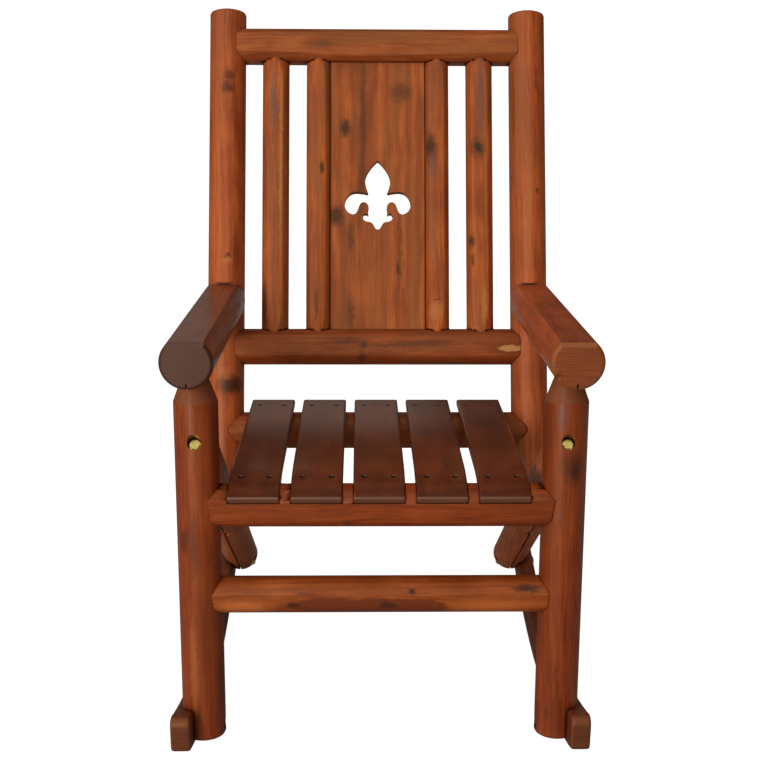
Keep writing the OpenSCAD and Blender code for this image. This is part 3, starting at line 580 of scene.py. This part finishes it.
def keep_width(shape, x):
    """Widens a spindle's narrowed ends again, so that they narrow only in front and behind."""
    lean = math.radians(BACK_LEAN)
    along = Vector((0, math.sin(lean), math.cos(lean)))
    middle = Vector(back_place(x)["at"])
    for vertex in shape.verts:
        off = vertex.co - middle
        height = off.dot(along)
        out = (off - height * along).length
        if out < SPINDLE_TENON * MM and abs(height) > SPINDLE_FULL * MM:
            continue
        way = min(max((abs(height) / MM - SPINDLE_FULL) / SPINDLE_TAPER, 0), 1)
        if way < SLOW_PART:
            narrowed = SLOW_RATE * way
        else:
            narrowed = SLOW_LOSS + (way - SLOW_PART) * (1 - SLOW_LOSS) / (1 - SLOW_PART)
        vertex.co.x = middle.x + off.x / (1 - SPINDLE_LOSS * narrowed)


reshaped("back_rail_top", "planed_top_rail", "rail_wood", plane_front)
for i, x in enumerate(SPINDLE_X, 1):
    reshaped(f"back_spindle_{i}", f"squared_spindle_{i}", "spindle_wood", keep_width, x)
for name in ("seat_front_rail", "front_stretcher", "back_rail_bottom"):
    reshaped(name, f"sanded_{name}", "rail_wood", soften_flat)
reshaped("back_panel", "fitted_back_board", "panel_wood", widen_board)
for side in ("left", "right"):
    reshaped(f"rocker_{side}", f"rounded_rocker_{side}", "rocker_wood", round_outline,
             ROCKER_EDGE, smooth_to=PLANK_SMOOTH)
for i in range(1, SLATS + 1):
    reshaped(f"seat_slat_{i}", f"rounded_slat_{i}", "slat_wood", round_outline,
             SLAT_EDGE, smooth_to=PLANK_SMOOTH)


def finish_node(name, material):
    """Gives what shows a node its material in place of the plain one."""
    mesh = shown[name].data
    mesh.materials.clear()
    mesh.materials.append(material)


def stain(name, where, tones, seed, **details):
    """Stains one piece. Each has its own seed, so that no two share their grain."""
    finish_node(name, varnished_softwood(f"varnished_softwood_{name}", where, tones, seed,
                                         **details))


stain("front_post_left", front_post_place(-SIDE_X), SHADED_FRONT, 1.0, neck_mm=NECK_MM, marks=(
    ((-20, -26, 317), (6, 16), SMUDGE, 0.6),
    ((-5, -32, 309), (4, 40), SMUDGE, 0.45),
    ((-10, -31, 116), (5, 60), PALE_HIGHLIGHT, 0.25),
), **FRONT_VARNISH)
stain("front_post_right", front_post_place(SIDE_X), SHADED_FRONT, 2.0, neck_mm=NECK_MM, marks=(
    ((-11, -31, 508), (8, 14), SHEEN_GREY, 0.35),
    ((8, -31, 429), (13, 20), SMUDGE, 0.6),
    ((10, -30, 424), (5, 8), KNOT, 0.5),
    ((-10, -31, 358), (4, 9), SHEEN_GREY, 0.3),
), **FRONT_VARNISH)
stain("back_post_left", back_post_place(-SIDE_X), POST, 3.0, marks=(
    ((4, -32, 782), (8, 9), SMUDGE, 0.6),
    ((3, -32, 759), (10, 8), KNOT, 0.6),
    ((5, -32, 456), (6, 4), KNOT, 0.5),
    ((4, -32, 450), (7, 4), PALE_HIGHLIGHT, 0.6),
    ((20, -26, 467), (6, 35), SMUDGE, 0.4),
    ((12, -30, 229), (20, 14), SMUDGE, 0.75),
    ((0, -32, 252), (16, 8), PALE_HIGHLIGHT, 0.35),
), **POST_VARNISH)
stain("back_post_right", back_post_place(SIDE_X), POST, 4.0, marks=(
    ((14, -29, 576), (2.5, 5), SMUDGE, 0.6),
    ((-2, -32, 560), (5, 130), PALE_HIGHLIGHT, 0.25),
    ((-26, -19, 718), (2.5, 60), SMUDGE, 0.4),
), **POST_VARNISH)
stain("rear_leg_left", leg_place(-SIDE_X), LIT_LEG, 5.0)
stain("rear_leg_right", leg_place(SIDE_X), LIT_LEG, 6.0, marks=(
    ((-3, -30, 309), (12, 1.4), CRACK, 0.9),
    ((-3, -30, 309), (2, 10), CRACK, 0.9),
))
stain("arm_left", arm_place(-SIDE_X), ARM_LEFT, 7.0, pith=ARM_PITH, marks=(
    ((-11, -29, 282), (16, 1.6), CRACK, 0.9),
    ((-12, -29, 170), (10, 14), SHEEN_GREY, 0.5),
    ((7, -2, 0), (26, 1), PALE_HIGHLIGHT, 0.3),
    ((11, 7, 0), (3, 3), PALE_HIGHLIGHT, 0.5),
), **ARM_LEFT_VARNISH)
stain("arm_right", arm_place(SIDE_X), ARM_RIGHT, 8.0, pith=ARM_PITH, marks=(
    ((12, 0, 0), (26, 1), CRACK, 0.5),
    ((18, -8, 0), (9, 9), SHEEN_GREY, 0.4),
    ((23, 11, 0), (16, 1.5), CRACK, 0.5),
), **ARM_RIGHT_VARNISH)
stain("seat_front_rail", rail_place(front_y(SEAT_RAIL_H), SEAT_RAIL_H), SHADED_FRONT, 9.0,
      pith=RAIL_PITH, marks=(((19, -26, -48), (5, 9), SMUDGE, 0.4),))
stain("seat_rear_rail", rail_place(*REAR_RAIL), LOW_RAIL, 10.0, pith=RAIL_PITH)
stain("front_stretcher", rail_place(front_y(STRETCHER_H), STRETCHER_H), STRETCHER, 11.0,
      pith=RAIL_PITH, marks=(
          ((12, -28, -205), (12, 34), LIGHT_BAND, 0.8),
          ((12, -28, 165), (12, 50), RED_BAND, 0.7),
          ((10, -29, -78), (11, 34), DARK_BAND, 4.0),
          ((12, -28, 0), (11, 60), DARK_BAND, 4.0),
          ((13, -28, 62), (10, 24), DARK_BAND, 4.0),
          ((-11, -25, -108), (3, 14), DARK_STREAK, 0.9),
          ((6, -26, -130), (4, 8), SMUDGE, 0.8),
          ((6, -26, 11), (5, 9), SMUDGE, 0.8),
          ((-15, -23, 45), (3, 5), KNOT, 0.8),
          ((-18, -21, 218), (5, 18), KNOT, 0.7),
      ))
stain("back_rail_bottom", rail_place(back_y(LOW_RAIL_H), LOW_RAIL_H), LOW_RAIL, 12.0,
      pith=RAIL_PITH, marks=(
          ((-18, -23, -50), (4, 26), SMUDGE, 0.45),
          ((-10, -26, -27), (6, 6), SMUDGE, 0.7),
          ((9, -31, -29), (9, 6), SMUDGE, 0.6),
          ((-10, -26, 20), (3, 40), SMUDGE, 0.5),
          ((-13, -24, 84), (4, 40), SMUDGE, 0.5),
          ((-5, -28, 236), (4, 17), BARE, 2.5),
      ))
stain("back_rail_top", rail_place(back_y(HIGH_RAIL_H), HIGH_RAIL_H), BACK_RAIL, 13.0,
      pith=RAIL_PITH, marks=(((-8, -24, -103), (8, 26), SMUDGE, 0.35),))
SPINDLE_MARKS = (
    (((-3, -21, 168), (6, 40), SHEEN_GREY, 0.5),
     ((10, -21, 60), (2.5, 130), PALE_HIGHLIGHT, 0.7),
     ((-18, -15, -206), (6, 40), KNOT, 0.5)),
    (((7, -19, 47), (3.5, 9), SMUDGE, 0.8),
     ((-3, -19, -197), (2.5, 24), CRACK, 0.45)),
    (((-12, -19, 84), (9, 22), SMUDGE, 0.7),
     ((-12, -19, 88), (4, 9), KNOT, 0.5),
     ((-8, -19, 50), (7, 20), SHEEN_GREY, 0.4),
     ((0, -19, -190), (10, 2), CRACK, 0.7),
     ((-4, -19, -210), (10, 14), PALE_HIGHLIGHT, 0.6)),
    (((-3, -21, 84), (11, 14), SMUDGE, 0.6),
     ((-3, -21, 84), (5, 7), KNOT, 0.9),
     ((2, -21, 178), (7, 60), SHEEN_GREY, 0.45),
     ((-16, -18, -84), (5, 10), SMUDGE, 0.7),
     ((-14, -19, -120), (4, 8), SMUDGE, 0.6),
     ((6, -21, -197), (4, 28), PALE_HIGHLIGHT, 0.7)),
)
for i, (x, marks) in enumerate(zip(SPINDLE_X, SPINDLE_MARKS)):
    stain(f"back_spindle_{i + 1}", back_place(x), SPINDLE, 14.0 + i, marks=marks)
stain("back_panel", back_place(0), PANEL, 20.0, pith=BOARD_PITH, ring_mm=14, strip_mm=STRIP_MM,
      figure=0.2, marks=(
          ((-58, -9, 122), (8, 12), SMUDGE, 0.8),
          ((-75, -9, -37), (12, 16), SMUDGE, 0.8),
          ((-26, -9, 130), (5, 110), SMUDGE, 0.55),
          ((-31, -9, 10), (5, 60), SMUDGE, 0.4),
          ((-49, -9, -79), (5, 24), SMUDGE, 0.5),
          ((-49, -9, -214), (6, 26), SMUDGE, 0.5),
          ((41, -9, 187), (16, 14), SMUDGE, 0.5),
          ((39, -9, -91), (3, 60), SMUDGE, 0.4),
          ((37, -9, -133), (3, 8), SMUDGE, 0.8),
      ))
SLAT_MARKS = (
    (((18, -468, 139), (8, 24), SMUDGE, 0.5),),
    (),
    (((20, -468, 128), (10, 20), KNOT, 0.5),
     ((8, -468, 150), (5, 10), SMUDGE, 0.5)),
    (((-9, -462, 260), (6, 26), SMUDGE, 0.4),),
    (),
)
for i, marks in enumerate(SLAT_MARKS):
    x = SEAT_X + (i - SLATS // 2) * SLAT_PITCH
    stain(f"seat_slat_{i + 1}", plank_place(x), SLAT, 24.0 + i, pith=SLAT_PITH, ring_mm=9,
          figure=0.2, marks=marks, **SLAT_VARNISH)
stain("rocker_left", plank_place(-SIDE_X), ROCKER, 30.0, pith=ROCKER_PITH)
stain("rocker_right", plank_place(SIDE_X), ROCKER, 31.0, pith=ROCKER_PITH)

yellow_zinc = plated_steel("yellow_zinc_plated_steel", "#958348", "#e2cd74", 0.24)
dull_zinc = plated_steel("zinc_plated_steel", "#4a3f35", "#6b5f52", 0.42)
for name in ("leg_bolts", "back_post_bolts", "arm_bolts", "rocker_bolts", "washers",
             "barrel_nuts", "rocker_nuts"):
    finish_node(name, yellow_zinc)
finish_node("seat_screws", dull_zinc)


# Camera: the photograph's place and angle, for a square picture
FOCAL_PX = 1248
IMAGE_PX = 768
SENSOR_MM = 36
CAMERA_AT = (-0.031, -2.0255, 1.153)
YAW, PITCH, ROLL = (math.radians(a) for a in (1.1365, 17.37, 0.35))
camera_data = bpy.data.cameras.new("camera")
camera_data.sensor_width = SENSOR_MM
camera_data.lens = SENSOR_MM * FOCAL_PX / IMAGE_PX
camera = into_scene("camera", camera_data)
ahead = Vector((math.sin(YAW) * math.cos(PITCH), math.cos(YAW) * math.cos(PITCH),
                -math.sin(PITCH)))
level = Vector((math.cos(YAW), -math.sin(YAW), 0))
above = level.cross(ahead)
right = math.cos(ROLL) * level + math.sin(ROLL) * above
up = math.cos(ROLL) * above - math.sin(ROLL) * level
turned = Matrix((right, up, -ahead)).transposed().to_4x4()
camera.matrix_world = Matrix.Translation(CAMERA_AT) @ turned
bpy.context.scene.camera = camera


# Studio: the floor that is seen glows a little, so that it meets the white surroundings without
# a line. One that isn't seen lies under it and throws light back up at the chair.
FLOOR_HALF = 200


def pale_floor(name, height, colour, glow):
    mesh = bpy.data.meshes.new(name)
    corners = [(x * FLOOR_HALF, y * FLOOR_HALF, height)
               for x, y in ((-1, -1), (1, -1), (1, 1), (-1, 1))]
    mesh.from_pydata(corners, [], [(0, 1, 2, 3)])
    floor = into_scene(name, mesh)
    material, tree, shader = new_material(name)
    feed(tree, shader, {"Base Color": linear(colour), "Roughness": 0.9,
                        "Emission Color": linear("#ffffff"), "Emission Strength": glow})
    mesh.materials.append(material)
    return floor


seen_floor = pale_floor("studio_floor", -0.5 * MM, "#8c8a88", 0.95)
seen_floor.visible_diffuse = False
seen_floor.visible_glossy = False
bounce_floor = pale_floor("studio_floor_bounce", -1.5 * MM, "#c4beb8", 0.0)
bounce_floor.visible_camera = False

# Soft lights, in metres and watts, all turned to the middle of the chair. The back and the right
# side get a fill of their own, which leaves no reflection on the varnish.
CHAIR_MIDDLE = Vector((0, 0, 0.6))
for name, light_at, size, power, tint, reflected in (
    ("tall_softbox", (-1.3, -2.6, 1.0), (0.7, 1.9), 36, "#fff6f2", True),
    ("back_glow", (-0.6, 2.6, 1.5), (1.8, 1.1), 2.2, "#ffe2d0", True),
    ("rear_fill", (0.8, 3.0, 1.9), (2.6, 1.6), 17, "#fff4e8", False),
    ("side_fill", (2.6, 1.4, 1.2), (1.2, 1.8), 6, "#fff4e8", False),
):
    lamp = bpy.data.lights.new(name, "AREA")
    lamp.shape = "RECTANGLE"
    lamp.size, lamp.size_y = size
    lamp.energy = power
    lamp.color = linear(tint)[:3]
    light = into_scene(name, lamp)
    light.location = light_at
    light.rotation_euler = (CHAIR_MIDDLE - Vector(light_at)).to_track_quat("-Z", "Y").to_euler()
    light.visible_glossy = reflected

# The studio is bright in front and above, a little more from the left, and dark behind.
# The camera sees plain white behind the chair, as in the photograph.
BRIGHT_SIDE = Vector((-0.4, -0.66, 0.64)).normalized()
world = bpy.data.worlds.new("studio")
world.use_nodes = True
sky = world.node_tree
looking = add(sky, "ShaderNodeTexCoord")
towards = add(sky, "ShaderNodeVectorMath", {0: looking.outputs["Generated"], 1: BRIGHT_SIDE},
              operation="DOT_PRODUCT")
bright = add(sky, "ShaderNodeMapRange",
             {"Value": towards.outputs["Value"], "From Min": 0.25, "From Max": 0.92,
              "To Min": 0.03, "To Max": 1.12}, interpolation_type="SMOOTHSTEP")
seen = add(sky, "ShaderNodeLightPath")
strength = add(sky, "ShaderNodeMix",
               {0: seen.outputs["Is Camera Ray"], 2: bright.outputs[0], 3: 1.0},
               data_type="FLOAT")
feed(sky, sky.nodes["Background"],
     {"Color": linear("#ffffff"), "Strength": strength.outputs[0]})
bpy.context.scene.world = world
bpy.context.scene.view_settings.view_transform = "Standard"
